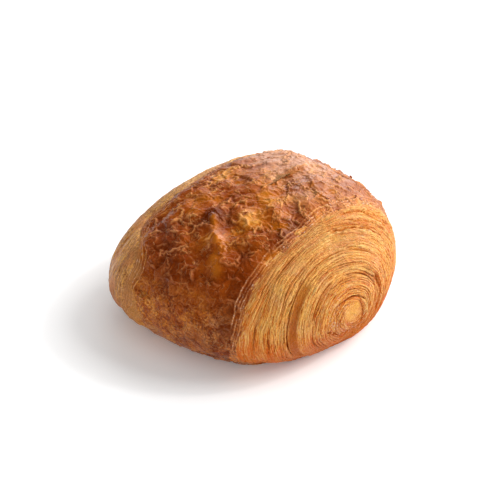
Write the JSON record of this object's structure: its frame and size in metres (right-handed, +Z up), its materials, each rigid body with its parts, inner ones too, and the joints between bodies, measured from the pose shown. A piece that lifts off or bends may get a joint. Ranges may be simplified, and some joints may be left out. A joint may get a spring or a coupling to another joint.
{
  "type": "pain au chocolat",
  "caption": "Plump rolled pastry with a blistered brown crust over its belly and spiral-wound flaky layers on both domed ends; rests on a flat base.",
  "frame": {"origin": "centre of the flat base that the pastry rests on, under the middle of its box", "axes": "+X along the roll towards the end the picture shows, +Y across it, +Z up"},
  "size_m": [0.1005, 0.1078, 0.0527],
  "materials": {
    "baked_pastry": "egg-washed laminated pastry, glossy brown crust and dry golden layers"
  },
  "bodies": {
    "root": {"pastry_roll": "baked_pastry"}
  },
  "joints": []
}
